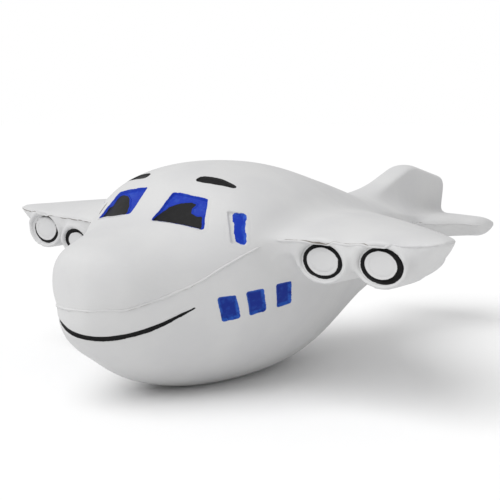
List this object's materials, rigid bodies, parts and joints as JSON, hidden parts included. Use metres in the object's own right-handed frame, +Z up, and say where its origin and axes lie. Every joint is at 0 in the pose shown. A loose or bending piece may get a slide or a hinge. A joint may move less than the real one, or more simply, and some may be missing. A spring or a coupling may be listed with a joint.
{
  "type": "toy airplane",
  "caption": "Soft foam toy airplane with a rounded belly, stubby wings, moulded engine nacelles and a painted smiling face.",
  "frame": {"origin": "on the surface it stands on, under the middle of the overall box", "axes": "+Z up, -Y towards the nose, +X towards the airplane's own left wing"},
  "size_m": [0.1138, 0.132, 0.0448],
  "materials": {
    "white_foam": "matte",
    "blue_paint": "satin",
    "dark_blue_paint": "satin",
    "black_paint": "matte"
  },
  "bodies": {
    "root": {"foam_body": "white_foam", "windscreen_left": "blue_paint", "windscreen_right": "blue_paint", "pupil_left": "black_paint", "pupil_right": "black_paint", "eyebrow_left": "black_paint", "eyebrow_right": "black_paint", "cockpit_side_window_left": "blue_paint", "cockpit_side_window_right": "blue_paint", "cabin_window_left_1": "dark_blue_paint", "cabin_window_left_2": "dark_blue_paint", "cabin_window_left_3": "dark_blue_paint", "cabin_window_right_1": "dark_blue_paint", "cabin_window_right_2": "dark_blue_paint", "cabin_window_right_3": "dark_blue_paint", "engine_ring_left_inner": "black_paint", "engine_ring_left_outer": "black_paint", "engine_ring_right_inner": "black_paint", "engine_ring_right_outer": "black_paint", "smile_line": "black_paint"}
  },
  "joints": []
}
